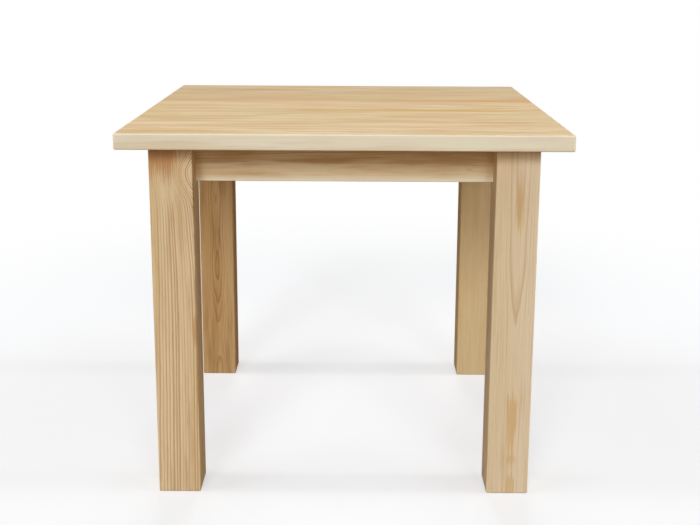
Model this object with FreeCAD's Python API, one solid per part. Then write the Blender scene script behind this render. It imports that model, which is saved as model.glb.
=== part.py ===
import FreeCAD, Part
import math
import os

from FreeCAD import Placement, Rotation, Vector

# A square dining table in solid pine.
# Edge-glued boards make the top, which overhangs four thick square legs. Aprons set well back behind
# the outer faces of the legs tie them together. Each corner is a knock-down joint: a block is screwed
# across the corner between two aprons, and a hanger bolt through it draws the leg up to both of them.
# Angle brackets hold the top down, with slots that let it swell and shrink across its grain.
# Millimetres, +Z up. The origin is on the floor under the middle of the table. The boards of the top
# run along X, and the front of the table faces -Y.

# Top
top_length = 900.0
top_width = 900.0
top_thickness = 32.0
top_overhang = 57.0
top_corner_radius = 5.0
top_edge_radius = 3.0
stave_count = 5

# Legs
table_height = 780.0
leg_side = 88.0
leg_arris_radius = 2.5
foot_chamfer = 2.0

# Aprons: the inset is from the inner face of the leg to the inner face of the apron
apron_height = 82.0
apron_thickness = 20.0
apron_inset = 13.0
apron_arris_radius = 2.0

# Corner blocks: the gap is between the block and the flat on the inner corner of the leg
block_height = 62.0
block_thickness = 28.0
block_gap = 20.0
block_arris = 2.0

# Hanger bolts, with their washers and nuts
bolt_diameter = 8.0
bolt_in_leg = 50.0
bolt_point = 8.0
bolt_tail = 4.0
bolt_end_chamfer = 1.0
washer_diameter = 24.0
washer_thickness = 2.0
nut_across_flats = 13.0
nut_height = 6.5

# Corner block screws: the seat is the wood between the screw head and the apron
block_screw_diameter = 4.5
block_screw_length = 24.0
block_screw_point = 4.0
block_screw_head_diameter = 9.0
block_screw_head_height = 3.0
block_screw_seat = 10.0
block_screw_spacing = 38.0
block_screw_place_share = 0.42

# Dowels in the apron ends: the two spacings keep dowels that meet inside one leg clear of each other
dowel_diameter = 8.0
dowel_length = 40.0
dowel_chamfer = 1.0
wide_dowel_spacing = 52.0
narrow_dowel_spacing = 26.0

# Angle brackets: hole places are measured from the corner of the bend
bracket_flange = 28.0
bracket_width = 18.0
bracket_thickness = 2.0
bracket_bend_radius = 4.0
bracket_corner_radius = 4.0
bracket_hole_place = 17.0
bracket_slot_length = 12.0
bracket_spacing = 300.0

# Bracket screws
bracket_screw_diameter = 4.0
bracket_screw_length = 16.0
bracket_screw_point = 3.0
bracket_screw_head_diameter = 8.0
bracket_screw_head_height = 2.6

# Rounded screw heads: how wide the crown is, and how much of the height is the straight rim
crown_width_share = 0.6
crown_rim_share = 0.4

# Fits
bore_clearance = 0.15
bore_end_room = 1.0
overrun = 2.0

# Levels and places that follow from the sizes
leg_top = table_height - top_thickness
apron_bottom = leg_top - apron_height
apron_middle = leg_top - apron_height / 2
apron_back = leg_side - apron_inset
apron_setback = apron_back - apron_thickness
corner_x = top_length / 2 - top_overhang
corner_y = top_width / 2 - top_overhang

# Along the diagonal of a corner, X plus Y is the same all over the flat and over each face of the block
diagonal = math.sqrt(2)
flat_sum = leg_side + apron_back
block_near_sum = flat_sum + block_gap * diagonal
block_far_sum = block_near_sum + block_thickness * diagonal
block_end_width = block_far_sum - block_near_sum
block_screw_place = block_near_sum - apron_back + block_screw_place_share * block_end_width

# The four corners, in order round the table, each with the apron that starts there
corner_names = ["front_left", "front_right", "back_right", "back_left"]
corner_sides = [(-1, -1), (1, -1), (1, 1), (-1, 1)]
apron_names = ["front", "right", "back", "left"]
apron_spans = [2 * corner_x, 2 * corner_y, 2 * corner_x, 2 * corner_y]
dowel_spacings = [wide_dowel_spacing, narrow_dowel_spacing, wide_dowel_spacing, narrow_dowel_spacing]
fastener_names = [
    "hanger_bolts",
    "bolt_washers",
    "bolt_nuts",
    "corner_block_screws",
    "apron_dowels",
    "bracket_screws",
]
quarter_turn = 90
full_turn = 360

along_x = Vector(1, 0, 0)
along_y = Vector(0, 1, 0)
upwards = Vector(0, 0, 1)
inwards = Vector(1, 1, 0).normalize()


def at_corner(shape, corner):
    """Carry a shape from the corner frame to one corner.

    The corner frame has its origin on the floor under the outer edge of the leg, and its X and Y run
    inwards along the outer faces of the leg, so one drawing serves all four corners.
    """
    side_x, side_y = corner_sides[corner]
    foot = Vector(side_x * corner_x, side_y * corner_y, 0)
    turn = Rotation(upwards, quarter_turn * corner)
    return shape.transformed(Placement(foot, turn).toMatrix(), True)


def turned(profile, start, direction):
    """Solid of revolution from (distance along the axis, radius) pairs, with its axis at start."""
    points = [Vector(radius, 0, distance) for distance, radius in profile]
    outline = Part.makePolygon(points + points[:1])
    solid = Part.Face(outline).revolve(Vector(), upwards, full_turn)
    solid.Placement = Placement(start, Rotation(upwards, direction))
    return solid


def drilled_hole(radius, length, start, direction):
    """Cutter for a round hole of the given depth, run out a little past its mouth at start."""
    return Part.makeCylinder(radius, length + overrun, start - direction * overrun, direction)


def prism(points, bottom, height):
    """Upright solid on a plan outline of (x, y) points."""
    corners = [Vector(x, y, bottom) for x, y in points]
    return Part.Face(Part.makePolygon(corners + corners[:1])).extrude(upwards * height)


def level_edges(shape):
    """Edges that lie flat in X and Y."""
    return [edge for edge in shape.Edges if edge.BoundBox.ZLength < overrun]


def upright_edges(shape):
    """Edges that run up and down."""
    return [edge for edge in shape.Edges if edge.BoundBox.ZLength >= overrun]


def bored(piece, bores):
    """Cut into a wooden piece each fastener bore that reaches it."""
    reaching = [bore for bore in bores if piece.BoundBox.intersect(bore.BoundBox)]
    return piece.cut(reaching).Solids[0] if reaching else piece


def screw(diameter, length, point, head_diameter, head_height, seat, direction):
    """Round-headed wood screw, its head seated at seat and its shank driven along direction."""
    shank = diameter / 2
    head = head_diameter / 2
    rim = head_height * crown_rim_share
    profile = [
        (-head_height, 0),
        (-head_height, head * crown_width_share),
        (-rim, head),
        (0, head),
        (0, shank),
        (length - point, shank),
        (length, 0),
    ]
    return turned(profile, seat, direction)


def top_slab():
    """The whole top, with rounded corners and an eased edge all round, above and below."""
    low_corner = Vector(-top_length / 2, -top_width / 2, leg_top)
    slab = Part.makeBox(top_length, top_width, top_thickness, low_corner)
    slab = slab.makeFillet(top_corner_radius, upright_edges(slab))
    return slab.makeFillet(top_edge_radius, level_edges(slab))


def staves(slab):
    """Saw the top into its edge-glued boards, from front to back."""
    stave_width = top_width / stave_count
    boards = []
    for index in range(stave_count):
        low_corner = Vector(-top_length / 2, -top_width / 2 + index * stave_width, leg_top)
        cell = Part.makeBox(top_length, stave_width, top_thickness, low_corner)
        boards.append(slab.common(cell).Solids[0])
    return boards


def leg():
    """One leg in the corner frame: eased arrises, a chamfered foot, and a flat for the hanger bolt."""
    post = Part.makeBox(leg_side, leg_side, leg_top)
    rounded = post.makeFillet(leg_arris_radius, upright_edges(post))
    floor_edges = [edge for edge in level_edges(post) if edge.BoundBox.ZMax < foot_chamfer]
    post = rounded.common(post.makeChamfer(foot_chamfer, floor_edges))
    flat = [(leg_side, apron_back), (leg_side, leg_side), (apron_back, leg_side)]
    return post.cut(prism(flat, apron_bottom, apron_height)).Solids[0]


def apron(span):
    """One apron in the corner frame of its first leg, with its two lower edges eased."""
    low_corner = Vector(leg_side, apron_setback, apron_bottom)
    board = Part.makeBox(span - 2 * leg_side, apron_thickness, apron_height, low_corner)
    lower = [
        edge for edge in level_edges(board)
        if edge.BoundBox.ZMax < apron_middle and edge.BoundBox.XLength > apron_thickness
    ]
    return board.makeFillet(apron_arris_radius, lower)


def corner_block():
    """Block across the corner: its mitred ends lie on two aprons, its faces at 45 degrees to both."""
    near = block_near_sum - apron_back
    far = block_far_sum - apron_back
    outline = [(near, apron_back), (far, apron_back), (apron_back, far), (apron_back, near)]
    block = prism(outline, apron_middle - block_height / 2, block_height)
    far_distance = block_far_sum / diagonal
    long_edges = [
        edge for edge in level_edges(block)
        if edge.CenterOfMass.dot(inwards) > far_distance - block_arris
    ]
    return block.makeChamfer(block_arris, long_edges)


def block_screws():
    """The four screws of one block, two into each apron, and the bores that they need."""
    seat_depth = apron_back + block_screw_seat
    head_radius = block_screw_head_diameter / 2 + bore_clearance
    shank_radius = block_screw_diameter / 2 + bore_clearance
    head_room = block_far_sum - block_screw_place + head_radius - seat_depth
    screws = []
    bores = []
    for level in (-block_screw_spacing / 2, block_screw_spacing / 2):
        height = apron_middle + level
        ends = [
            (Vector(block_screw_place, seat_depth, height), -along_y),
            (Vector(seat_depth, block_screw_place, height), -along_x),
        ]
        for seat, direction in ends:
            screws.append(screw(block_screw_diameter, block_screw_length, block_screw_point,
                                block_screw_head_diameter, block_screw_head_height, seat, direction))
            bores.append(drilled_hole(shank_radius, block_screw_length + bore_end_room, seat, direction))
            bores.append(drilled_hole(head_radius, head_room, seat - direction * head_room, direction))
    return screws, bores


def hanger_bolt():
    """Bolt through the block into the leg, with its washer, its nut and the bore that it needs."""
    radius = bolt_diameter / 2
    hole_radius = radius + bore_clearance
    through = bolt_in_leg + block_gap + block_thickness
    length = through + washer_thickness + nut_height + bolt_tail
    point = inwards * (flat_sum / diagonal - bolt_in_leg) + upwards * apron_middle
    profile = [
        (0, 0),
        (bolt_point, radius),
        (length - bolt_end_chamfer, radius),
        (length, radius - bolt_end_chamfer),
        (length, 0),
    ]
    bolt = turned(profile, point, inwards)

    washer_seat = point + inwards * through
    rim = washer_diameter / 2
    washer = turned([(0, hole_radius), (0, rim), (washer_thickness, rim), (washer_thickness, hole_radius)],
                    washer_seat, inwards)

    nut = hexagon_nut(hole_radius, washer_seat + inwards * washer_thickness)
    bore = drilled_hole(hole_radius, through + bore_end_room, washer_seat, -inwards)
    return bolt, washer, nut, bore


def hexagon_nut(hole_radius, seat):
    """Hexagon nut on the diagonal, its corners bevelled by a cone at 30 degrees above and below."""
    flat = nut_across_flats / 2
    bevel_angle = math.radians(30)
    corner = flat / math.cos(bevel_angle)
    bevel = (corner - flat) * math.tan(bevel_angle)
    sides = 6
    angles = [index * 2 * math.pi / sides for index in range(sides)]
    outline = [(corner * math.cos(angle), corner * math.sin(angle)) for angle in angles]
    hexagon = prism(outline, 0, nut_height)
    hexagon.Placement = Placement(seat, Rotation(upwards, inwards))
    profile = [
        (0, hole_radius),
        (0, flat),
        (bevel, corner),
        (nut_height - bevel, corner),
        (nut_height, flat),
        (nut_height, hole_radius),
    ]
    return hexagon.common(turned(profile, seat, inwards)).Solids[0]


def apron_dowels(span, spacing):
    """The dowels in both ends of one apron, half in the apron and half in the leg, and their bores."""
    radius = dowel_diameter / 2
    narrow = radius - dowel_chamfer
    profile = [
        (0, 0),
        (0, narrow),
        (dowel_chamfer, radius),
        (dowel_length - dowel_chamfer, radius),
        (dowel_length, narrow),
        (dowel_length, 0),
    ]
    bore_radius = radius + bore_clearance
    reach = dowel_length / 2 + bore_end_room
    dowels = []
    bores = []
    for joint in (leg_side, span - leg_side):
        for level in (-spacing / 2, spacing / 2):
            middle = Vector(joint, apron_setback + apron_thickness / 2, apron_middle + level)
            dowels.append(turned(profile, middle - along_x * (dowel_length / 2), along_x))
            bores.append(Part.makeCylinder(bore_radius, 2 * reach, middle - along_x * reach, along_x))
    return dowels, bores


def bent_strip():
    """Blank of an angle bracket: an L section with a rounded bend, its flange ends rounded."""
    bend = bracket_bend_radius
    wall = bracket_thickness
    reach = bracket_flange
    outer_slant = bend - bend / diagonal
    inner_slant = bend - (bend - wall) / diagonal

    def at(depth, drop):
        """Point of the section, at a depth from the apron and a drop below the top."""
        return Vector(-bracket_width / 2, depth, -drop)

    section = Part.Wire([
        Part.makeLine(at(0, reach), at(0, bend)),
        Part.Arc(at(0, bend), at(outer_slant, outer_slant), at(bend, 0)).toShape(),
        Part.makeLine(at(bend, 0), at(reach, 0)),
        Part.makeLine(at(reach, 0), at(reach, wall)),
        Part.makeLine(at(reach, wall), at(bend, wall)),
        Part.Arc(at(bend, wall), at(inner_slant, inner_slant), at(wall, bend)).toShape(),
        Part.makeLine(at(wall, bend), at(wall, reach)),
        Part.makeLine(at(wall, reach), at(0, reach)),
    ])
    strip = Part.Face(section).extrude(along_x * bracket_width)
    corners = [edge for edge in strip.Edges if abs(edge.Length - bracket_thickness) < bore_clearance]
    return strip.makeFillet(bracket_corner_radius, corners)


def angle_bracket(slot_direction):
    """Bracket with a round hole in its upright flange and a slot, along slot_direction, in the other."""
    radius = bracket_screw_diameter / 2 + bore_clearance
    depth = bracket_thickness + overrun
    hole = drilled_hole(radius, depth, Vector(0, 0, -bracket_hole_place), along_y)

    middle = Vector(0, bracket_hole_place, 0)
    run = slot_direction * (bracket_slot_length / 2 - radius)
    across = slot_direction.cross(upwards) * radius
    slot_ends = [drilled_hole(radius, depth, middle + shift, -upwards) for shift in (-run, run)]
    plan = [middle + shift for shift in (-run - across, run - across, run + across, -run + across)]
    slot_run = prism([(point.x, point.y) for point in plan], -depth, depth + overrun)
    return bent_strip().cut([hole, slot_run] + slot_ends).Solids[0]


def bracket_set(span, slot_direction):
    """The two brackets of one apron, with their screws and the pilot bores in apron and top."""
    pilot_radius = bracket_screw_diameter / 2 + bore_clearance
    pilot_depth = bracket_screw_length + bore_end_room
    brackets = []
    screws = []
    pilots = []
    for shift in (-bracket_spacing / 2, bracket_spacing / 2):
        bend = Vector(span / 2 + shift, apron_back, leg_top)
        bracket = angle_bracket(slot_direction)
        bracket.translate(bend)
        brackets.append(bracket)
        drives = [
            (bend + along_y * bracket_thickness - upwards * bracket_hole_place, -along_y),
            (bend + along_y * bracket_hole_place - upwards * bracket_thickness, upwards),
        ]
        for seat, direction in drives:
            screws.append(screw(bracket_screw_diameter, bracket_screw_length, bracket_screw_point,
                                bracket_screw_head_diameter, bracket_screw_head_height, seat, direction))
            pilots.append(drilled_hole(pilot_radius, pilot_depth, seat, direction))
    return brackets, screws, pilots


def table():
    """Every piece in its place, by the name of its node. A list holds a set of like fasteners."""
    nodes = {}
    bores = []
    fasteners = {name: [] for name in fastener_names}
    for corner, apron_name in enumerate(apron_names):
        span = apron_spans[corner]
        slot_direction = along_y if corner % 2 == 0 else along_x
        bolt, washer, nut, bolt_bore = hanger_bolt()
        corner_screws, screw_bores = block_screws()
        dowels, dowel_bores = apron_dowels(span, dowel_spacings[corner])
        brackets, bracket_screws, pilots = bracket_set(span, slot_direction)

        made = [[bolt], [washer], [nut], corner_screws, dowels, bracket_screws]
        for name, pieces in zip(fastener_names, made):
            fasteners[name] += [at_corner(piece, corner) for piece in pieces]
        for number, bracket in enumerate(brackets, start=1):
            nodes[f"top_bracket_{apron_name}_{number}"] = at_corner(bracket, corner)
        bores += [at_corner(bore, corner) for bore in [bolt_bore] + screw_bores + dowel_bores + pilots]

    for number, board in enumerate(staves(top_slab()), start=1):
        nodes[f"top_stave_{number}"] = bored(board, bores)
    for corner, corner_name in enumerate(corner_names):
        nodes[f"leg_{corner_name}"] = bored(at_corner(leg(), corner), bores)
        nodes[f"corner_block_{corner_name}"] = bored(at_corner(corner_block(), corner), bores)
        nodes[f"apron_{apron_names[corner]}"] = bored(at_corner(apron(apron_spans[corner]), corner), bores)
    for name, pieces in fasteners.items():
        nodes[name] = Part.makeCompound(pieces)
    return nodes


os.makedirs("parts", exist_ok=True)
for node_name, shape in sorted(table().items()):
    shape.exportStep(f"parts/{node_name}.step")
    box = shape.BoundBox
    extent = f"{box.XLength:.1f} x {box.YLength:.1f} x {box.ZLength:.1f} mm"
    print(f"{node_name}: {len(shape.Solids)} solids, {extent}, valid {shape.isValid()}")
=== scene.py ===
# %% [markdown]
# # A square dining table in solid pine
#
# The table comes from CAD as separate solids: glued boards for the top, legs, aprons, corner blocks,
# bolts, screws and brackets. This lesson dresses those solids. The wood is the whole look of the table,
# so most of the steps build one idea: a log with growth rings, out of which every board is sawn.

import math
from dataclasses import dataclass

import bpy
import numpy as np
from mathutils import Euler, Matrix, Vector


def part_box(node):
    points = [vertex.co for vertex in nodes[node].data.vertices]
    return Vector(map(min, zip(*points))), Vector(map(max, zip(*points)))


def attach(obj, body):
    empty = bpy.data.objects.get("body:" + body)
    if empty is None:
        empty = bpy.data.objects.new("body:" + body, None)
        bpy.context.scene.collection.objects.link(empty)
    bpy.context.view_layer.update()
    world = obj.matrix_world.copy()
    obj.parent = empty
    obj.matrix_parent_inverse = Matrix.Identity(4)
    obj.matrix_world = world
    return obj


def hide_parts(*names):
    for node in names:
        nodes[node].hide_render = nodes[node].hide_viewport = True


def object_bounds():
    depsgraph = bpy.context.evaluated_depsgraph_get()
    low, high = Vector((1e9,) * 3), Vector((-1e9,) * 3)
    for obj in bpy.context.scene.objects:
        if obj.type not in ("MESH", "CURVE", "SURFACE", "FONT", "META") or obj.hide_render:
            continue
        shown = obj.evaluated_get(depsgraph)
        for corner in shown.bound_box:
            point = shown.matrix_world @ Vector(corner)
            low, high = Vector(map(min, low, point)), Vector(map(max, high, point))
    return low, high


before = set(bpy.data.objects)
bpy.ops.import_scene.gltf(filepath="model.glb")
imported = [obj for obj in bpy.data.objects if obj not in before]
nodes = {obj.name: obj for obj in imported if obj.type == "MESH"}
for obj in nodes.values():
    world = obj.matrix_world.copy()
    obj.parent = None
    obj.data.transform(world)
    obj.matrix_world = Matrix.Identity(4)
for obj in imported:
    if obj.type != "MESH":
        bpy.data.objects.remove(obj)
cad_low, cad_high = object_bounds()
print("CAD box in metres:", [round(x, 3) for x in cad_high - cad_low])

# %% [markdown]
# ## The camera
#
# The picture is taken from a little above the top, almost square on to the front. A camera could be
# aimed with a constraint, but a plain place and three small angles are easier to read and to change.
# The lens is shifted down a little, as on a view camera, which keeps the legs closer to upright than
# tilting alone would. The shift stays small because the other views keep it.

# %% Camera
picture_width = 700
focal_pixels = 1097.0
sensor_width = 36.0
camera_place = (0.020, -2.555, 1.097)
camera_tilt = math.radians(12.30)
camera_roll = math.radians(0.26)
camera_turn = math.radians(0.28)
lens_shift = -0.08

scene = bpy.context.scene
camera = bpy.data.objects.new("camera", bpy.data.cameras.new("camera"))
scene.collection.objects.link(camera)
scene.camera = camera
camera.data.sensor_width = sensor_width
camera.data.lens = focal_pixels / picture_width * sensor_width
camera.data.shift_y = lens_shift
camera.location = camera_place
camera.rotation_euler = (math.pi / 2 - camera_tilt, -camera_roll, camera_turn)
print(f"lens {camera.data.lens:.1f} mm")

# %% [markdown]
# ## Writing a material as formulas
#
# A material is a tree of nodes. Placed one by one, the nodes hide the formula that they stand for, so
# these helpers add one step of a formula each and hand back its output. A value that is a socket is
# linked, and any other value is typed into the node.


# %% Arithmetic helpers
def put(tree, socket, value):
    """Link the socket to another node's output, or type a plain value into it."""
    if isinstance(value, bpy.types.NodeSocket):
        tree.links.new(value, socket)
    else:
        socket.default_value = value


def number(tree, operation, *values):
    """One step of arithmetic on numbers."""
    node = tree.nodes.new("ShaderNodeMath")
    node.operation = operation
    for socket, value in zip(node.inputs, values):
        put(tree, socket, value)
    return node.outputs[0]


def vector(tree, operation, *values):
    """One step of arithmetic on vectors. Lengths and dot products come back as numbers."""
    node = tree.nodes.new("ShaderNodeVectorMath")
    node.operation = operation
    for socket, value in zip(node.inputs, values):
        put(tree, socket, value)
    return node.outputs["Value" if operation in ("LENGTH", "DOT_PRODUCT") else "Vector"]


def rescale(tree, value, start, end, low=0.0, high=1.0, shape="SMOOTHSTEP"):
    """Carry the range start to end over to low to high, and hold the ends."""
    node = tree.nodes.new("ShaderNodeMapRange")
    node.interpolation_type = shape
    entries = {"Value": value, "From Min": start, "From Max": end, "To Min": low, "To Max": high}
    for name, entry in entries.items():
        put(tree, node.inputs[name], entry)
    return node.outputs["Result"]


def ramp(tree, value, stops):
    """Curve through (position, level) stops, eased from one to the next."""
    node = tree.nodes.new("ShaderNodeValToRGB")
    node.color_ramp.interpolation = "EASE"
    while len(node.color_ramp.elements) < len(stops):
        node.color_ramp.elements.new(0.5)
    for element, (position, level) in zip(node.color_ramp.elements, stops):
        element.position = position
        element.color = (level, level, level, 1.0)
    put(tree, node.inputs[0], value)
    return node.outputs["Color"]


# %% Colour and noise helpers
def colour(red, green, blue):
    """Colour as written on a screen, 0 to 255, made linear for the shader."""
    screen = np.array([red, green, blue]) / 255
    linear = np.where(screen <= 0.04045, screen / 12.92, ((screen + 0.055) / 1.055) ** 2.4)
    return (*linear.tolist(), 1.0)


def blend(tree, share, first, second, kind="MIX"):
    """Mix two colours: the first where share is 0, the second, or their product, where it is 1."""
    node = tree.nodes.new("ShaderNodeMix")
    node.data_type = "RGBA"
    node.blend_type = kind
    put(tree, node.inputs[0], share)
    put(tree, node.inputs[6], first)
    put(tree, node.inputs[7], second)
    return node.outputs[2]


def noise(tree, place, scale, detail=2.0):
    """Cloudy noise around 0.5, as a number and as a colour, stretched by three scales."""
    node = tree.nodes.new("ShaderNodeTexNoise")
    put(tree, node.inputs["Vector"], vector(tree, "MULTIPLY", place, scale))
    node.inputs["Scale"].default_value = 1.0
    node.inputs["Detail"].default_value = detail
    return node.outputs["Fac"], node.outputs["Color"]


def coordinates(tree, kind="Object"):
    """Place on the table in metres, or with kind Normal the way its face looks."""
    return tree.nodes.new("ShaderNodeTexCoord").outputs[kind]


def new_material(name):
    """Empty material, with its tree and its main shader."""
    material = bpy.data.materials.new(name)
    material.use_nodes = True
    return material, material.node_tree, material.node_tree.nodes["Principled BSDF"]


# %% [markdown]
# ## Floor and light
#
# The table stands on a white studio floor under soft light. A backdrop could be a curved sheet, but a
# flat floor that fades to pure white a few paces away leaves no horizon from any side. Only rays that
# the camera sees, directly, in a gloss or through glass, get that white. As a reflector the floor is a
# warm brown, as of boards, which keeps the shadows under the table deep and warm.


# %% Floor finish
fade_start = 1.1
fade_end = 2.6
floor_veil = 0.5
floor_bounce = (0.28, 0.205, 0.12, 1.0)
floor_white = (1.0, 0.957, 0.943, 1.0)
floor_roughness = 0.9


def seen_directly(tree):
    """1 for rays from the camera, also by way of a gloss or through glass, and 0 for the rest."""
    path = tree.nodes.new("ShaderNodeLightPath")
    mirrored = number(tree, "MAXIMUM", path.outputs["Is Glossy Ray"], path.outputs["Is Transmission Ray"])
    return number(tree, "MAXIMUM", path.outputs["Is Camera Ray"], mirrored)


def mix_shaders(tree, share, first, second):
    """Shader between two others."""
    node = tree.nodes.new("ShaderNodeMixShader")
    put(tree, node.inputs[0], share)
    put(tree, node.inputs[1], first)
    put(tree, node.inputs[2], second)
    return node.outputs[0]


def studio_floor():
    """Matt white that keeps a light shadow near the table, and fades to plain white away from it."""
    material, tree, shader = new_material("studio_floor")
    looked_at = seen_directly(tree)
    put(tree, shader.inputs["Base Color"], blend(tree, looked_at, floor_bounce, floor_white))
    shader.inputs["Roughness"].default_value = floor_roughness
    shader.inputs["Specular IOR Level"].default_value = 0.0
    distance = vector(tree, "LENGTH", coordinates(tree))
    fade = rescale(tree, distance, fade_start, fade_end, floor_veil, 1.0)
    white = tree.nodes.new("ShaderNodeEmission").outputs[0]
    mixed = mix_shaders(tree, number(tree, "MULTIPLY", fade, looked_at), shader.outputs[0], white)
    put(tree, tree.nodes["Material Output"].inputs["Surface"], mixed)
    return material


# %% Floor
floor_reach = 40.0
corners = floor_reach * np.array([(-1, -1, 0), (1, -1, 0), (1, 1, 0), (-1, 1, 0)])
sheet = bpy.data.meshes.new("studio_floor")
sheet.from_pydata(corners.tolist(), [], [(0, 1, 2, 3)])
sheet.materials.append(studio_floor())
floor = bpy.data.objects.new("studio_floor", sheet)
scene.collection.objects.link(floor)
print("floor reaches", floor_reach, "m each way")

# %% [markdown]
# The light is that of a small studio. Two soft lamps stand left and right of the camera, and two low
# ones reach under the top to the apron and the rear legs. A high lamp on each side lights the inner
# faces of the front legs, and is steep enough for the top to keep it off the rear ones. A narrow lamp
# square on to each side, which the near legs keep off the far ones, and one behind light the faces that
# those miss. One lamp alone would be simpler, but would leave the rear legs in the dark.
#
# Each lamp has its strength, its width, its turn to the right of the camera and its height, in degrees.

# %% Sky and lamps
sky_level = 0.15
sky_white = (1.0, 1.0, 1.0, 1.0)
lamp_colour = (0.93, 1.0, 1.05)
lamps = {
    "left_lamp": (1.03, 18.0, -16.0, 26.0),
    "right_lamp": (0.56, 18.0, 21.0, 25.0),
    "low_left_lamp": (0.24, 10.0, -13.0, 12.0),
    "low_right_lamp": (0.24, 10.0, 13.0, 12.0),
    "high_left_lamp": (0.67, 30.0, -82.0, 50.0),
    "high_right_lamp": (0.52, 30.0, 82.0, 50.0),
    "left_side_lamp": (0.80, 5.0, -90.0, 11.0),
    "right_side_lamp": (1.00, 5.0, 90.0, 11.0),
    "back_lamp": (1.40, 24.0, 180.0, 25.0),
}

sky = bpy.data.worlds.new("studio_sky")
sky.use_nodes = True
scene.world = sky
lit = sky.node_tree.nodes["Background"]
lit.inputs["Color"].default_value = sky_white
lit.inputs["Strength"].default_value = sky_level
shown = sky.node_tree.nodes.new("ShaderNodeBackground")
shown.inputs["Color"].default_value = sky_white
mixed_sky = mix_shaders(sky.node_tree, seen_directly(sky.node_tree), lit.outputs[0], shown.outputs[0])
put(sky.node_tree, sky.node_tree.nodes["World Output"].inputs["Surface"], mixed_sky)

for name, (level, width, turn, height) in lamps.items():
    lamp = bpy.data.objects.new(name, bpy.data.lights.new(name, "SUN"))
    lamp.data.energy = level
    lamp.data.color = lamp_colour
    lamp.data.angle = math.radians(width)
    lamp.rotation_euler = (math.radians(90.0 - height), 0.0, math.radians(turn))
    scene.collection.objects.link(lamp)
scene.view_settings.view_transform = "Standard"
print(len(lamps), "lamps, sky", sky_level)

# %% [markdown]
# ## How pine is built
#
# A pine log is a stack of cones. Each year adds a wide pale layer in spring and a thin brown one in
# late summer. A board shows whatever its saw cut met: straight lines where it crossed the layers, tall
# arches where it ran along one, and arcs on its ends. An image of wood could be laid on each face, but
# it would not turn the corners. Here each piece is given a log instead: the line of its pith, and the
# width of its rings. The distance from the pith then gives the right figure on every face.


# %% A log
@dataclass
class Log:
    """How one piece was sawn.

    grain is the way along the piece, pith a point on the heart of the log in metres, and lean the two
    small angles, in degrees, between the heart and the grain. sway bends the heart: pairs of a place
    along the grain and how far the heart has moved there. wander is the size of the slow waves, and
    ripple of the small ones. ring is the width of one year, and uneven how much it varies. summers picks
    the run of good and bad summers, and so of strong and weak rings. contrast is how dark the late wood
    is, figure how dark the flecks along the grain are, and streaks how many streaks of colour fit in a
    metre along the grain and across it. cream, honey, late and resin are the colours of the pale wood,
    its darker streaks, the late wood and the resin, which on the front apron is also painted shade.
    patches are resin-rich places, on the front apron partly bands of painted shade under the top, knots
    are branch roots and clear places have little late wood: (centre, radii, strength) each. fray is how
    far the edges of the patches fray. sap is a pale outer edge: (a point on it, the way inwards, how
    deep), which on the front apron's lower edge is partly painted light.
    seams are the glued edges, by their Y.
    """
    grain: tuple
    pith: tuple
    lean: tuple = (0.0, 0.0)
    sway: tuple = ((0.0, 0.0), (1.0, 0.0))
    wander: float = 0.010
    ripple: float = 0.0016
    ring: float = 0.004
    uneven: float = 1.6
    summers: float = 0.0
    contrast: float = 0.5
    figure: float = 0.25
    streaks: tuple = (1.1, 18.0)
    cream: tuple = (229, 205, 168)
    honey: tuple = (220, 189, 147)
    late: tuple = (186, 135, 79)
    resin: tuple = (208, 154, 88)
    patches: tuple = ()
    fray: float = 1.05
    knots: tuple = ()
    clear: tuple = ()
    sap: tuple = ()
    seams: tuple = ()


along_x = (1.0, 0.0, 0.0)
along_y = (0.0, 1.0, 0.0)
upright = (0.0, 0.0, 1.0)

# %% [markdown]
# ## Into the log
#
# The Mapping node carries a point of the table into its log, where X runs along the heart. Wood is
# never ruler-straight, so slow noise, stretched along the grain, then pushes the point sideways.


# %% Place in the log
slow_waves = (1.6, 7.0, 7.0)
small_ripples = (9.0, 45.0, 45.0)


def place_in_log(tree, log):
    """Point of the piece as seen from the heart: along it, and two distances across it.

    It is turn * (point - pith), where turn lays the grain along X and then leans it.
    """
    lean = Euler((0.0, math.radians(log.lean[0]), math.radians(log.lean[1]))).to_matrix()
    turn = lean @ Vector(log.grain).rotation_difference(Vector(along_x)).to_matrix()
    mapping = tree.nodes.new("ShaderNodeMapping")
    mapping.inputs["Rotation"].default_value = turn.to_euler()
    mapping.inputs["Location"].default_value = -(turn @ Vector(log.pith))
    put(tree, mapping.inputs["Vector"], coordinates(tree))
    return mapping.outputs["Vector"]


def wandering(tree, place, log):
    """The place, pushed across the grain by slow waves, small ripples and the sway of the heart.

    Each kind of wave adds size * (noise - 0.5), and the sway is a curve of the place along the grain.
    """
    for scale, size in ((slow_waves, log.wander), (small_ripples, log.ripple)):
        push = vector(tree, "SUBTRACT", noise(tree, place, scale)[1], (0.5, 0.5, 0.5))
        place = vector(tree, "ADD", place, vector(tree, "MULTIPLY", push, (0.0, size, size)))
    along, moved = np.array(log.sway).T
    reach = np.ptp(moved) or 1.0
    stops = zip((along - along[0]) / (along[-1] - along[0]), (moved - moved.min()) / reach)
    parts = tree.nodes.new("ShaderNodeSeparateXYZ")
    put(tree, parts.inputs[0], place)
    share = rescale(tree, parts.outputs["X"], along[0], along[-1], shape="LINEAR")
    bend = number(tree, "MULTIPLY_ADD", ramp(tree, share, list(stops)), reach, moved.min())
    shift = tree.nodes.new("ShaderNodeCombineXYZ")
    put(tree, shift.inputs["Y"], bend)
    return vector(tree, "ADD", place, shift.outputs[0])


# %% [markdown]
# ## Growth rings
#
# The distance from the heart, divided by the width of a year, counts the years. Its whole part names
# the ring, so each ring can be a little darker or paler than the next. Its fraction runs from spring to
# autumn: pale for most of the year, then quickly brown, then sharply pale again. Knots swell the rings
# round them, which is why the lines of the grain part and close again beside a branch.


# %% Rings
uneven_run = 0.31


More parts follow.
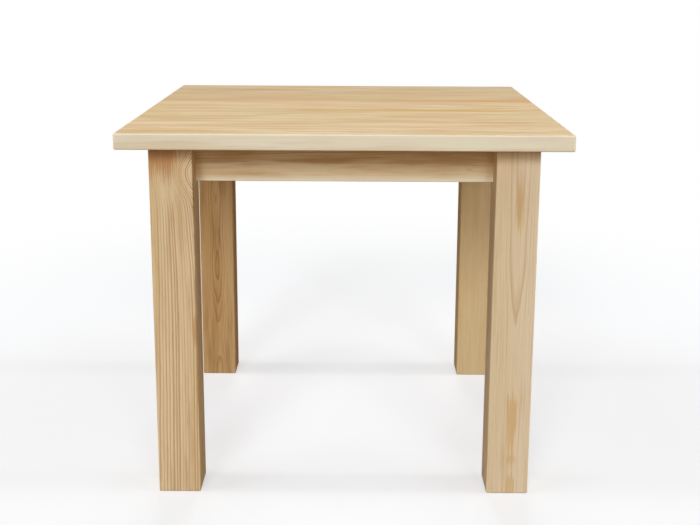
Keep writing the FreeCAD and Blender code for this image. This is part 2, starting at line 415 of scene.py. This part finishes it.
def closeness(tree, centre, radii):
    """1 at the centre of a mark, falling to 0 a few radii away.

    It is the bell curve e ** -(distance in radii) ** 2.
    """
    offset = vector(tree, "DIVIDE", vector(tree, "SUBTRACT", coordinates(tree), centre), radii)
    squared = vector(tree, "DOT_PRODUCT", offset, offset)
    return number(tree, "EXPONENT", number(tree, "MULTIPLY", squared, -1.0))


def ring_count(tree, place, log):
    """Years from the heart to the place, uneven from year to year and swollen round the knots.

    They are (distance + swell * closeness to a knot) / ring + uneven * noise + summers.
    """
    distance = vector(tree, "LENGTH", vector(tree, "MULTIPLY", place, (0.0, 1.0, 1.0)))
    for centre, radii, swell in log.knots:
        distance = number(tree, "MULTIPLY_ADD", closeness(tree, centre, radii), swell, distance)
    years = number(tree, "DIVIDE", distance, log.ring)
    uneven = tree.nodes.new("ShaderNodeTexNoise")
    uneven.noise_dimensions = "1D"
    put(tree, uneven.inputs["W"], number(tree, "MULTIPLY", years, uneven_run))
    grown = number(tree, "MULTIPLY_ADD", uneven.outputs["Fac"], log.uneven, log.summers)
    return number(tree, "ADD", years, grown)


# %% Late wood
weakest_ring = 0.25
longest_spring = 2.6
browning = ((0.0, 0.0), (0.35, 0.04), (0.70, 0.6), (0.86, 1.0), (0.94, 0.9), (1.0, 0.0))


def late_wood(tree, years, log):
    """How much late wood lies at a place: 0 in spring, 1 in autumn, later and weaker in some years.

    It is the browning at (fraction of the year) ** spring, times the strength of that year's ring.
    """
    year = tree.nodes.new("ShaderNodeTexWhiteNoise")
    year.noise_dimensions = "1D"
    put(tree, year.inputs["W"], number(tree, "FLOOR", years))
    strength = rescale(tree, year.outputs["Value"], 0.0, 1.0, weakest_ring, 1.0, "LINEAR")
    spring = rescale(tree, year.outputs["Value"], 0.0, 1.0, longest_spring, 1.0, "LINEAR")
    season = number(tree, "POWER", number(tree, "FRACT", years), spring)
    late = number(tree, "MULTIPLY", ramp(tree, season, browning), strength)
    for centre, radii, share in log.clear:
        kept = number(tree, "MULTIPLY_ADD", closeness(tree, centre, radii), -share, 1.0)
        late = number(tree, "MULTIPLY", late, kept)
    return late


# %% [markdown]
# ## Colour and surface of pine
#
# Cream and honey drift into each other in long streaks, the late wood darkens both, and fine fibres
# break up every edge. The end of a board drinks more finish, so it is darker: the angle between the
# face and the grain shows where that is. The finish is a thin matt oil, a little glossier on the dense
# late wood, and the fibres stand up from the planed face by a few hundredths of a millimetre.


# %% Marks on the wood
resin_and_shade_edge = 0.30
sap_and_light_colour = (251, 241, 218)
sap_and_light_share = 0.68
glue_line = (0.0002, 0.0007)
glue_share = 0.5
end_facing = (0.6, 0.95)
end_tint = (0.92, 0.85, 0.74, 1.0)


def resin_and_shade_marks(tree, wood, feather, log):
    """The wood with its resin-rich places, and on the front apron painted shade, whose edges fray along
    the fibres.
    """
    for centre, radii, strength in log.patches:
        frayed = number(tree, "ADD", closeness(tree, centre, radii), feather)
        share = rescale(tree, frayed, resin_and_shade_edge, log.fray, 0.0, strength)
        wood = blend(tree, share, wood, colour(*log.resin))
    return wood


def pale_edge(tree, wood, log):
    """The wood with the pale outer layers of the log on one side, which on the front apron's lower edge
    is partly painted light.
    """
    for point, inwards, depth in log.sap:
        inside = vector(tree, "DOT_PRODUCT", vector(tree, "SUBTRACT", coordinates(tree), point), inwards)
        wood = blend(tree, rescale(tree, inside, 0.0, depth, sap_and_light_share, 0.0), wood, colour(*sap_and_light_colour))
    return wood


def glue_lines(tree, wood, log):
    """The wood with the hair-thin dark lines where it is glued to its neighbours."""
    parts = tree.nodes.new("ShaderNodeSeparateXYZ")
    put(tree, parts.inputs[0], coordinates(tree))
    for seam in log.seams:
        gap = number(tree, "ABSOLUTE", number(tree, "SUBTRACT", parts.outputs["Y"], seam))
        wood = blend(tree, rescale(tree, gap, *glue_line, glue_share, 0.0), wood, colour(*log.late))
    return wood


def end_grain(tree, wood, log):
    """The wood, darker on the faces that cut across the grain."""
    facing = vector(tree, "DOT_PRODUCT", coordinates(tree, "Normal"), Vector(log.grain).normalized())
    end = rescale(tree, number(tree, "ABSOLUTE", facing), *end_facing)
    return blend(tree, end, wood, end_tint, "MULTIPLY")


# %% Pine
figure_grain = (6.0, 60.0, 60.0)
fibre_grain = (7.0, 420.0, 420.0)
canal_grain = (38.0, 900.0, 900.0)
wood_detail = 3.0
canal_detail = 1.0
streak_range = (0.36, 0.64)
fleck_range = (0.45, 0.75)
canal_range = (0.66, 0.74)
fibre_share = 0.20
canal_share = 0.30
fray_size = 1.3
early_roughness = 0.88
late_roughness = 0.72
late_relief = 0.4
oil_shine = 0.03
fibre_strength = 0.35
fibre_height = 0.0004


def pine(name, log):
    """Material of one piece of pine, sawn from its log."""
    material, tree, shader = new_material(name)
    place = place_in_log(tree, log)
    late = late_wood(tree, ring_count(tree, wandering(tree, place, log), log), log)
    lengthwise, across = log.streaks
    streak = noise(tree, place, (lengthwise, across, across), wood_detail)[0]
    figure = noise(tree, place, figure_grain, wood_detail)[0]
    fibre = noise(tree, place, fibre_grain, wood_detail)[0]
    canal = noise(tree, place, canal_grain, canal_detail)[0]

    brown = colour(*log.late)
    wood = blend(tree, rescale(tree, streak, *streak_range), colour(*log.cream), colour(*log.honey))
    wood = blend(tree, number(tree, "MULTIPLY", late, log.contrast), wood, brown)
    wood = blend(tree, rescale(tree, figure, *fleck_range, 0.0, log.figure), wood, brown)
    wood = blend(tree, rescale(tree, fibre, *fleck_range, 0.0, fibre_share), wood, brown)
    wood = blend(tree, rescale(tree, canal, *canal_range, 0.0, canal_share), wood, brown)
    feather = number(tree, "MULTIPLY_ADD", number(tree, "ADD", fibre, figure), fray_size, -fray_size)
    wood = resin_and_shade_marks(tree, pale_edge(tree, wood, log), feather, log)
    wood = end_grain(tree, glue_lines(tree, wood, log), log)

    put(tree, shader.inputs["Base Color"], wood)
    put(tree, shader.inputs["Roughness"], rescale(tree, late, 0.0, 1.0, early_roughness, late_roughness))
    shader.inputs["Specular IOR Level"].default_value = oil_shine
    bump = tree.nodes.new("ShaderNodeBump")
    bump.inputs["Strength"].default_value = fibre_strength
    bump.inputs["Distance"].default_value = fibre_height
    put(tree, bump.inputs["Height"], number(tree, "MULTIPLY_ADD", late, late_relief, fibre))
    put(tree, shader.inputs["Normal"], bump.outputs[0])
    return material


# %% Dressing a piece
def dress(node_name, material):
    """Give a CAD piece its finish."""
    slots = nodes[node_name].data.materials
    slots.clear()
    slots.append(material)


# %% [markdown]
# ## The top
#
# Five boards are glued edge to edge, with their grain along X. Each comes from another part of another
# log, so every board has its own heart, near or far below it. One log for all five would be less to
# write, but its figure would run across the glue lines unbroken.

# %% Boards of the top
board = {"figure": 0.31, "streaks": (3.8, 32.0), "ripple": 0.0032}
top_face = cad_high[2]
sap_depth = 0.008
front_edge = ((0.0, cad_low[1], 0.0), along_y, sap_depth)
top_logs = {
    "top_stave_1": Log(along_x, (0.0, -0.40, 0.70), (0.9, 0.5), ring=0.0036, contrast=0.36, **board,
                       cream=(235, 207, 166), honey=(224, 189, 143), resin=(215, 173, 120),
                       sap=(front_edge,),
                       patches=(((-0.32, cad_low[1], 0.755), (0.25, 0.02, 0.012), 0.30),
                                ((0.15, cad_low[1], 0.750), (0.45, 0.02, 0.010), 0.18),
                                ((-0.33, -0.40, top_face), (0.18, 0.03, 0.05), 0.75))),
    "top_stave_2": Log(along_x, (0.0, -0.16, 0.69), (-1.1, -0.6), ring=0.0034, contrast=0.34, **board,
                       cream=(230, 202, 157), honey=(220, 186, 139)),
    "top_stave_3": Log(along_x, (0.0, 0.02, 0.66), (1.2, 0.4), ring=0.0038, contrast=0.34, **board,
                       cream=(231, 202, 160), honey=(221, 187, 141), resin=(212, 168, 102),
                       patches=(((0.18, -0.070, top_face), (0.40, 0.036, 0.05), 1.0),)),
    "top_stave_4": Log(along_x, (0.0, 0.19, 0.72), (0.8, -0.9), ring=0.0032, contrast=0.34, **board,
                       cream=(219, 190, 147), honey=(210, 177, 132), resin=(216, 163, 111),
                       patches=(((0.34, 0.105, top_face), (0.30, 0.045, 0.05), 1.0),
                                ((-0.20, 0.12, top_face), (0.30, 0.040, 0.05), 0.5))),
    "top_stave_5": Log(along_x, (0.0, 0.38, 0.69), (-0.9, 0.7), ring=0.0036, contrast=0.34, **board,
                       cream=(216, 189, 150), honey=(208, 177, 135), resin=(203, 155, 100),
                       patches=(((-0.21, 0.343, top_face), (0.15, 0.028, 0.05), 1.0),)),
}
for node_name, log in top_logs.items():
    edges = [corner[1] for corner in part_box(node_name)]
    log.seams = tuple(edge for edge in edges if edge not in (cad_low[1], cad_high[1]))
    dress(node_name, pine(node_name, log))
print(len(top_logs), "boards in the top")

# %% [markdown]
# ## The legs
#
# Each leg is one thick square timber, so its heart is close by and its faces differ. The front right
# leg and the back left one run along a layer, which draws tall arches down the middle of the face. The
# front left one crosses the layers, and a branch grew out near its top. Such marks could be painted on a
# face, but as places in the wood they go on round its edges.

# %% Legs
leg_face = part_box("leg_front_left")[0][1]
leg_logs = {
    "leg_front_left": Log(upright, (-0.50, -0.25, 0.0), (0.0, 1.2), wander=0.004, ring=0.0047, uneven=0.8,
                          summers=2487.0, contrast=0.8, cream=(238, 209, 168), honey=(231, 198, 152),
                          late=(176, 122, 68), resin=(199, 147, 97), fray=0.92,
                          knots=(((-0.312, leg_face, 0.692), (0.070, 0.06, 0.040), 0.026),
                                 ((-0.300, leg_face, 0.690), (0.060, 0.06, 0.170), 0.015)),
                          clear=(((-0.362, leg_face, 0.655), (0.030, 0.05, 0.034), 1.0),),
                          patches=(((-0.382, leg_face, 0.728), (0.056, 0.05, 0.052), 0.95),
                                   ((-0.308, leg_face, 0.355), (0.008, 0.02, 0.045), 0.65))),
    "leg_front_right": Log(upright, (0.354, -0.3329, 0.0), wander=0.001, ripple=0.0006, ring=0.0025,
                           uneven=0.0, summers=414.0, contrast=0.42, figure=0.15,
                           cream=(238, 213, 180), honey=(233, 205, 167),
                           sway=((0.0, 0.0), (0.36, 0.0), (0.53, 0.0026), (0.75, 0.0036)),
                           resin=(220, 176, 118), fray=0.60,
                           clear=(((0.356, leg_face, 0.722), (0.014, 0.02, 0.050), 0.85),),
                           patches=(((0.356, leg_face, 0.617), (0.011, 0.02, 0.044), 0.42),
                                    ((0.354, leg_face, 0.168), (0.010, 0.02, 0.072), 0.75),
                                    ((0.357, leg_face, 0.078), (0.009, 0.02, 0.011), 0.45),
                                    ((0.356, leg_face, 0.018), (0.011, 0.02, 0.026), 0.6))),
    "leg_back_right": Log(upright, (0.30, 0.50, 0.0), ring=0.0036, contrast=0.12, figure=0.12,
                          cream=(225, 195, 148), honey=(221, 189, 141)),
    "leg_back_left": Log(upright, (-0.349, 0.345, 0.0), wander=0.001, ripple=0.0028, ring=0.0026,
                         uneven=0.0, summers=3834.0, contrast=0.6, figure=0.4,
                         sway=((0.0, 0.0024), (0.10, 0.0), (0.30, 0.0066), (0.40, 0.0050),
                               (0.50, 0.0064), (0.60, 0.0052), (0.75, 0.0052)),
                         cream=(209, 170, 121), honey=(199, 157, 106), late=(144, 94, 50)),
}
for node_name, log in leg_logs.items():
    dress(node_name, pine(node_name, log))
print(len(leg_logs), "legs")

# %% [markdown]
# ## The aprons and corner blocks
#
# The aprons are thinner boards with their grain along their length. The blocks are offcuts laid across
# the corners, so their grain runs along a diagonal. They are mostly in the shade and could share one
# log, but then the same lines would show on every side.

# %% Aprons and blocks
apron_low, apron_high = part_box("apron_front")
# The front apron is made paler towards its lower edge, the lit strip below the top's shadow: partly pale
# outer wood, partly painted light.
apron_sap_and_light_depth = 0.016
lower_edge = ((0.0, 0.0, apron_low[2]), upright, apron_sap_and_light_depth)
apron_face = apron_low[1]
falling = (1.0, -1.0, 0.0)
rising = (1.0, 1.0, 0.0)
frame_logs = {
    "apron_front": Log(along_x, (0.0, -0.30, 0.69), (0.5, 0.9), ring=0.0035, contrast=0.4,
                       streaks=(3.0, 30.0), ripple=0.0030, cream=(236, 208, 168), honey=(228, 195, 150),
                       resin=(196, 150, 102), sap=(lower_edge,),
                       # These three dark bands along the strip just under the top are partly resin
                       # streaks and partly painted shade of the top's overhang.
                       patches=(((-0.05, apron_face, 0.711), (0.12, 0.02, 0.011), 0.9),
                                ((-0.25, apron_face, 0.716), (0.10, 0.02, 0.018), 0.6),
                                ((0.19, apron_face, 0.711), (0.13, 0.02, 0.012), 0.7))),
    "apron_back": Log(along_x, (0.0, 0.29, 0.65), (-0.4, 0.2), ring=0.0038, contrast=0.4),
    "apron_left": Log(along_y, (-0.28, 0.0, 0.74), (0.3, -0.3), ring=0.0036, contrast=0.4),
    "apron_right": Log(along_y, (0.29, 0.0, 0.66), (-0.3, 0.3), ring=0.0040, contrast=0.4),
    "corner_block_front_left": Log(falling, (-0.25, -0.25, 0.68), ring=0.0030),
    "corner_block_front_right": Log(rising, (0.24, -0.24, 0.72), ring=0.0034),
    "corner_block_back_right": Log(falling, (0.25, 0.25, 0.70), ring=0.0032),
    "corner_block_back_left": Log(rising, (-0.26, 0.26, 0.74), ring=0.0036),
}
for node_name, log in frame_logs.items():
    dress(node_name, pine(node_name, log))
print(len(frame_logs), "pieces in the frame")

# %% [markdown]
# ## Zinc and beech
#
# The brackets, bolts, nuts, washers and screws are zinc-plated steel: a pale metal whose crystals dull
# it in patches, with a faint yellow and blue cast from the dip that seals it, and fine scratches. The
# dowels are beech, a close pinkish wood full of short dark flecks. One even colour each would do from
# afar, but noise of the size of the crystals and flecks holds up close to.

# %% Zinc plate
crystals_per_metre = 700.0
cast_grain = (60.0, 60.0, 60.0)
cloud_grain = (240.0, 240.0, 240.0)
scratch_grain = (300.0, 2600.0, 2600.0)
cloud_detail = 4.0
cast_range = (0.35, 0.65)
cloud_range = (0.45, 0.70)
zinc_blue = (204, 208, 214)
zinc_yellow = (214, 209, 196)
zinc_grey = (168, 172, 178)
grey_share = 0.35
least_roughness = 0.24
crystal_dulling = 0.16
cloud_dulling = 0.15
scratch_strength = 0.15
scratch_depth = 0.0001


def zinc_steel():
    """Bright zinc plate: cloudy crystals, a faint cast of colour, and fine scratches.

    Its roughness is the least one, plus a share of the crystal's shade and a share of the cloud.
    """
    material, tree, shader = new_material("zinc_steel")
    place = coordinates(tree)
    crystal = tree.nodes.new("ShaderNodeTexVoronoi")
    put(tree, crystal.inputs["Vector"], place)
    crystal.inputs["Scale"].default_value = crystals_per_metre
    cast = noise(tree, place, cast_grain)[0]
    cloud = noise(tree, place, cloud_grain, cloud_detail)[0]
    plate = blend(tree, rescale(tree, cast, *cast_range), colour(*zinc_blue), colour(*zinc_yellow))
    plate = blend(tree, rescale(tree, cloud, *cloud_range, 0.0, grey_share), plate, colour(*zinc_grey))
    put(tree, shader.inputs["Base Color"], plate)
    shader.inputs["Metallic"].default_value = 1.0
    dull = number(tree, "MULTIPLY_ADD", crystal.outputs["Color"], crystal_dulling, least_roughness)
    put(tree, shader.inputs["Roughness"], number(tree, "MULTIPLY_ADD", cloud, cloud_dulling, dull))
    bump = tree.nodes.new("ShaderNodeBump")
    bump.inputs["Strength"].default_value = scratch_strength
    bump.inputs["Distance"].default_value = scratch_depth
    put(tree, bump.inputs["Height"], noise(tree, place, scratch_grain)[0])
    put(tree, shader.inputs["Normal"], bump.outputs[0])
    return material


# %% Beech
rosy_grain = (60.0, 60.0, 60.0)
ray_grain = (900.0, 900.0, 900.0)
ray_range = (0.60, 0.70)
ray_share = 0.5
beech_pale = (214, 176, 136)
beech_rosy = (202, 160, 120)
beech_ray = (150, 104, 70)
gloss_range = (0.3, 0.7)
beech_roughness = (0.70, 0.55)


def beech():
    """Plain beech: pale and rosy in drifts, with short dark flecks, which are the wood's rays."""
    material, tree, shader = new_material("beech_dowel")
    ray = noise(tree, coordinates(tree), ray_grain)[0]
    rosy = noise(tree, coordinates(tree), rosy_grain)[0]
    wood = blend(tree, rosy, colour(*beech_pale), colour(*beech_rosy))
    wood = blend(tree, rescale(tree, ray, *ray_range, 0.0, ray_share), wood, colour(*beech_ray))
    put(tree, shader.inputs["Base Color"], wood)
    put(tree, shader.inputs["Roughness"], rescale(tree, ray, *gloss_range, *beech_roughness))
    return material


# %% Metal pieces and dowels
zinc = zinc_steel()
metal = ("top_bracket", "bolt_", "hanger_bolts", "corner_block_screws", "bracket_screws")
metal_nodes = [name for name in nodes if name.startswith(metal)]
for node_name in metal_nodes:
    dress(node_name, zinc)
dress("apron_dowels", beech())
print(len(metal_nodes), "metal pieces")

# %% [markdown]
# ## Turned and threaded pieces
#
# A bolt or a screw is a surface of two numbers: the distance along its axis and the angle round it. A
# thread makes the radius depend on both. Where the turns so far and the angle agree, the surface is on
# a crest, and half a turn further it is in a valley. A modifier could wind a profile into a screw, but
# this formula also thins the thread out towards a point and takes the slot out of a head.


# %% Closed tubes
def tubes(name, grids, starts, ends):
    """Object of closed tubes, whose points are in grids, of shape (tubes, rows, columns, 3).

    Each row is joined to the next row, and each column to the next one round. A fan of triangles from
    starts closes the first row of a tube, and one from ends the last.
    """
    count, rows, columns = grids.shape[:3]
    index = np.arange(rows * columns).reshape(rows, columns)
    following = np.roll(index, -1, axis=1)
    first_cap = rows * columns
    sides = np.stack([index[:-1], following[:-1], following[1:], index[1:]], axis=-1).reshape(-1, 4)
    fan = np.stack([np.full(columns, first_cap), following[0], index[0]], axis=-1)
    far_fan = np.stack([np.full(columns, first_cap + 1), index[-1], following[-1]], axis=-1)
    offsets = np.arange(count)[:, None, None] * (first_cap + 2)
    quads = (sides + offsets).reshape(-1, 4)
    triangles = (np.concatenate([fan, far_fan]) + offsets).reshape(-1, 3)
    points = np.concatenate([grids.reshape(count, -1, 3), starts[:, None], ends[:, None]], axis=1)
    mesh = bpy.data.meshes.new(name)
    mesh.from_pydata(points.reshape(-1, 3).tolist(), [], quads.tolist() + triangles.tolist())
    made = bpy.data.objects.new(name, mesh)
    scene.collection.objects.link(made)
    return made


# %% Turned surfaces
nearly_upright = 0.9


def turned(distance, radius, seats, directions):
    """Points of turned pieces: seat + direction * distance + radius * (a circle across the direction).

    distance and radius are tables of rows and columns, and the columns go once round.
    """
    angle = np.linspace(0.0, 2 * np.pi, radius.shape[1], endpoint=False)[:, None]
    helper = np.where(np.abs(directions[:, 2:]) > nearly_upright, along_x, upright)
    side = np.cross(directions, helper)
    circle = side[:, None] * np.cos(angle) + np.cross(directions, side)[:, None] * np.sin(angle)
    axis = seats[:, None, None] + directions[:, None, None] * distance[None, :, :, None]
    return axis + radius[None, :, :, None] * circle[:, None]


def thread(along, columns, pitch):
    """0 on the crest of a thread and 1 in its valley, over distance along the axis and angle.

    It is twice the distance from (turns so far - angle in turns) to the nearest whole number.
    """
    angle = np.linspace(0.0, 1.0, columns, endpoint=False)
    turns = along[:, None] / pitch - angle
    return np.abs(2.0 * (turns - np.floor(turns + 0.5)))


# %% Places and finish
def round_the_table(points):
    """Points at the front left, followed by their three quarter turns about the middle of the table.

    A quarter turn carries (x, y, z) to (-y, x, z).
    """
    turns = [points]
    for _ in range(3):
        x, y, z = np.moveaxis(turns[-1], -1, 0)
        turns.append(np.stack([-y, x, z], axis=-1))
    return np.concatenate(turns)


def fit(piece, node_name):
    """Put a new metal piece in the place of a CAD piece."""
    piece.data.materials.append(zinc)
    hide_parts(node_name)
    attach(piece, "root")
    print(piece.name, "has", len(piece.data.polygons), "faces")


# %% [markdown]
# ## The hanger bolts
#
# A hanger bolt is a rod with a coarse wood thread on one end and a fine machine thread on the other.
# Each one is screwed into the chamfered corner of a leg, passes through the corner block, and carries
# the washer and nut that pull the leg into the corner between the aprons.

# %% Hanger bolts
frame_middle = (apron_low[2] + apron_high[2]) / 2
bolt_radius = 0.004
bolt_length = 0.1105
bolt_point = 0.008
bolt_chamfer = 0.001
tip_radius = 0.0003
wood_thread_end = 0.046
plain_neck = 0.003
wood_pitch = 0.0032
wood_depth = 0.0011
machine_pitch = 0.00125
machine_depth = 0.0007
bolt_rows = 420
bolt_columns = 40

along = np.linspace(0.0, bolt_length, bolt_rows)
tapered = np.minimum(along / bolt_point, 1.0) * bolt_radius
outline = np.minimum(tapered, bolt_radius - bolt_chamfer + bolt_length - along)
coarse = thread(along, bolt_columns, wood_pitch) * wood_depth
fine = thread(along, bolt_columns, machine_pitch) * machine_depth
# The neck between the threads is plain for half its length each way, and then both threads deepen.
threaded = np.clip(np.abs(along - wood_thread_end) / plain_neck - 0.5, 0.0, 1.0)[:, None]
cut = np.where(along[:, None] < wood_thread_end, coarse, fine) * threaded
radius = np.maximum(outline[:, None] - cut, tip_radius)

bolt_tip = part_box("hanger_bolts")[0]
diagonal = np.array([[math.sqrt(0.5), math.sqrt(0.5), 0.0]])
seats = round_the_table(np.array([[bolt_tip[0], bolt_tip[1], frame_middle]]))
directions = round_the_table(diagonal)
grids = turned(np.repeat(along[:, None], bolt_columns, axis=1), radius, seats, directions)
fit(tubes("hanger_bolts_threaded", grids, seats, seats + directions * bolt_length), "hanger_bolts")

# %% [markdown]
# ## The screws
#
# A wood screw has a low domed head with a cross-shaped slot, a smooth neck and a thread that runs out
# at the point. Rows of the grid first climb over the dome, then turn under it and follow the shank. The
# slot is pressed into the dome: wherever the place on the head lies in one of two crossed bars, the
# surface sinks. A Boolean could cut the slot too, but it would leave long thin faces round it.


# %% A kind of screw
@dataclass
class Screw:
    """Sizes of one kind of screw in metres. pitch is how far it goes in with one turn."""
    diameter: float
    length: float
    head_diameter: float
    head_height: float
    pitch: float


# %% Screw surface
rim_share = 0.4
slot_width = 0.16
slot_reach = 0.62
slot_wall = 0.07
slot_depth = 0.55
neck_share = 0.2
thread_start = 0.002
thread_depth = 0.28
point_diameters = 0.9
point_width = 0.06
screw_columns = 48
head_rows = 22
shank_rows = 90


def screw_tables(screw):
    """Distance along the axis and radius, as tables of rows and columns, from the dome to the point.

    The dome is a straight rim and a quarter circle on it, and sinks in the bars of the slot. The shank
    is its radius * taper * (1 - groove): the taper falls to the point, and the groove is the thread.
    """
    head = screw.head_diameter / 2
    shank = screw.diameter / 2
    round_it = np.ones(screw_columns)
    angle = np.linspace(0.0, 2 * np.pi, screw_columns, endpoint=False)

    share = np.linspace(1.0 / head_rows, 1.0, head_rows)[:, None]
    across = np.abs(share * np.cos(angle))
    upwards = np.abs(share * np.sin(angle))
    in_bar = np.clip((slot_width - np.minimum(across, upwards)) / slot_wall, 0.0, 1.0)
    in_reach = np.clip((slot_reach - np.maximum(across, upwards)) / slot_wall, 0.0, 1.0)
    crown = rim_share + (1.0 - rim_share) * np.sqrt(1.0 - share ** 2)
    dome = -screw.head_height * (crown - slot_depth * in_bar * in_reach)

    run = np.linspace(0.0, screw.length, shank_rows)[:, None]
    taper = np.minimum(1.0, (screw.length - run) / (point_diameters * screw.diameter) + point_width)
    started = np.clip((run - neck_share * screw.length) / thread_start, 0.0, 1.0)
    groove = thread_depth * started * thread(run[:, 0], screw_columns, screw.pitch)

    distance = np.concatenate([dome, [0.0 * round_it], run * round_it])
    radius = np.concatenate([head * share * round_it, [head * round_it], shank * taper * (1.0 - groove)])
    return distance, radius


# %% Screws of one kind
def screws(name, node_name, screw, seats, directions):
    """All the screws of one kind, driven from their seats, in the place of a CAD piece."""
    seats = round_the_table(np.array(seats))
    directions = round_the_table(np.array(directions))
    distance, radius = screw_tables(screw)
    starts = seats + directions * distance[0].mean()
    ends = seats + directions * screw.length
    fit(tubes(name, turned(distance, radius, seats, directions), starts, ends), node_name)


# %% [markdown]
# Each corner block is held by four screws, two into each apron. Each bracket has one screw into its
# apron and one up into the top. Only the front left corner and the front apron are listed, since the
# others are quarter turns of them.

# %% Screws in their places
to_front = (0.0, -1.0, 0.0)
to_left = (-1.0, 0.0, 0.0)

block_screw = Screw(diameter=0.0045, length=0.024, head_diameter=0.009, head_height=0.003, pitch=0.0020)
spacing = 0.038
inset = 0.02297
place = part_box("corner_block_front_left")[1][0] - inset
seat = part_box("corner_block_screws")[0][1] + block_screw.length
low = frame_middle - spacing / 2
high = frame_middle + spacing / 2
screws("corner_block_screws_slotted", "corner_block_screws", block_screw,
       [(place, seat, low), (seat, place, low), (place, seat, high), (seat, place, high)],
       [to_front, to_left, to_front, to_left])

bracket_screw = Screw(diameter=0.004, length=0.016, head_diameter=0.008, head_height=0.0026, pitch=0.0018)
plate = 0.002
hole = 0.017
bracket_low, bracket_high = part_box("top_bracket_front_1")
middle = (bracket_low[0] + bracket_high[0]) / 2
into_apron = (bracket_low[1] + plate, bracket_high[2] - hole)
into_top = (bracket_low[1] + hole, bracket_high[2] - plate)
screws("bracket_screws_slotted", "bracket_screws", bracket_screw,
       [(middle, *into_apron), (-middle, *into_apron), (middle, *into_top), (-middle, *into_top)],
       [to_front, to_front, upright, upright])
